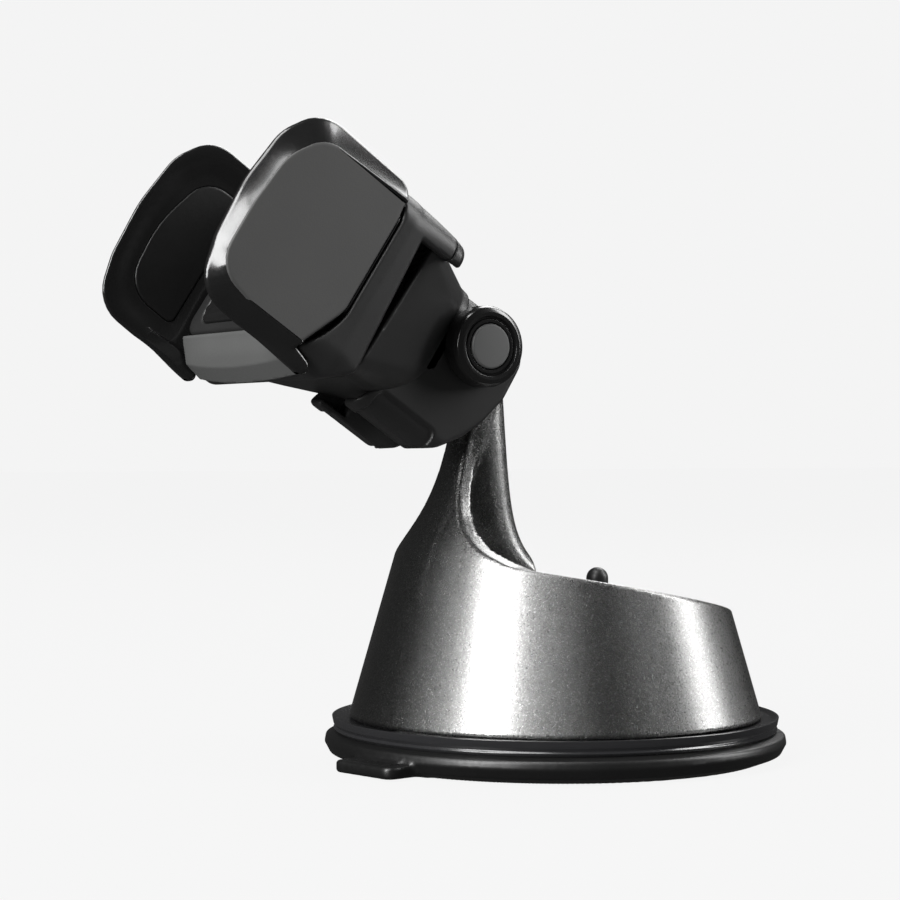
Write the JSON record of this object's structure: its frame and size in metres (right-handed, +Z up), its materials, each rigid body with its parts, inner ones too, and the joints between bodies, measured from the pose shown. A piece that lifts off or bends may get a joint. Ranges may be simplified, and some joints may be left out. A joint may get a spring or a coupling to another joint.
{
  "type": "car phone mount",
  "caption": "Dashboard phone mount: suction base with a lock lever, slanted neck, tilting head and a spring clamp whose arms grip the phone's sides.",
  "frame": {"origin": "middle of the suction face, on the dashboard", "axes": "+Z up off the dashboard, the phone faces -Y, +X is the side with the clamping knob"},
  "size_m": [0.0992, 0.1467, 0.1293],
  "materials": {
    "cup_rubber": "matte",
    "ring_gloss": "gloss",
    "housing_metallic": "satin",
    "black_plastic": "satin",
    "gloss_black": "gloss",
    "panel_grey": "matte",
    "cap_grey": "satin",
    "trim_grey": "satin",
    "pad_rubber": "matte",
    "steel": "brushed",
    "white_plastic": "matte"
  },
  "bodies": {
    "base": {"suction_cup": "cup_rubber", "base_ring": "ring_gloss", "base_housing": "housing_metallic", "lever_tray": "black_plastic", "base_screws": "steel", "plunger_spring": "steel"},
    "plunger": {"plunger": "steel", "cup_core": "cup_rubber", "lever_pin": "steel"},
    "lever": {"lock_lever": "black_plastic"},
    "head": {"friction_washers": "pad_rubber", "tilt_nut": "steel", "nut_cover": "gloss_black", "nut_cap": "cap_grey", "knuckle_casing": "black_plastic", "rear_housing": "black_plastic", "casing_screws": "steel", "cradle_shell": "black_plastic", "hood_cap": "black_plastic", "back_plate": "black_plastic", "plate_pad": "pad_rubber", "chin_trim": "trim_grey", "cradle_screws": "steel", "pinion_pin": "steel", "arm_springs": "steel"},
    "knob": {"tilt_knob": "gloss_black", "knob_cap": "cap_grey", "tilt_bolt": "steel"},
    "pinion": {"pinion": "white_plastic"},
    "arm_right": {"arm_right": "gloss_black", "rack_right": "black_plastic", "panel_right": "panel_grey", "pad_right": "pad_rubber"},
    "arm_left": {"arm_left": "gloss_black", "rack_left": "black_plastic", "panel_left": "panel_grey", "pad_left": "pad_rubber"}
  },
  "joints": [
    {"name": "lock_lever_hinge", "type": "hinge", "parent": "plunger", "child": "lever", "pos_m": [0, 0, 0.0324], "axis": [1, 0, 0], "range_deg": [0, 85]},
    {"name": "plunger_slide", "type": "slide", "parent": "base", "child": "plunger", "axis": [0, 0, -1], "range_m": [0, 0.003], "deforming": ["plunger_spring"]},
    {"name": "head_tilt", "type": "hinge", "parent": "base", "child": "head", "pos_m": [0, -0.0276, 0.0867], "axis": [1, 0, 0], "range_deg": [-22, 24]},
    {"name": "knob_turn", "type": "hinge", "parent": "head", "child": "knob", "pos_m": [0, -0.0276, 0.0867], "axis": [1, 0, 0], "range_deg": [0, 180]},
    {"name": "arm_right_slide", "type": "slide", "parent": "head", "child": "arm_right", "axis": [1, 0, 0], "range_m": [0, 0.018], "stiffness_N_per_m": 80, "springref_m": -0.012, "deforming": ["arm_springs"]},
    {"name": "arm_left_slide", "type": "slide", "parent": "head", "child": "arm_left", "axis": [-1, 0, 0], "range_m": [0, 0.018]},
    {"name": "pinion_turn", "type": "hinge", "parent": "head", "child": "pinion", "pos_m": [0, -0.06553, 0.10041], "axis": [0, -0.8339, 0.5519], "range_deg": [-206.8, 0.5]}
  ],
  "couplings": [
    {"joint": "lock_lever_hinge", "follows": "plunger_slide", "rad_per_m": 494.5},
    {"joint": "arm_left_slide", "follows": "arm_right_slide", "ratio": 1},
    {"joint": "pinion_turn", "follows": "arm_right_slide", "rad_per_m": -200}
  ]
}
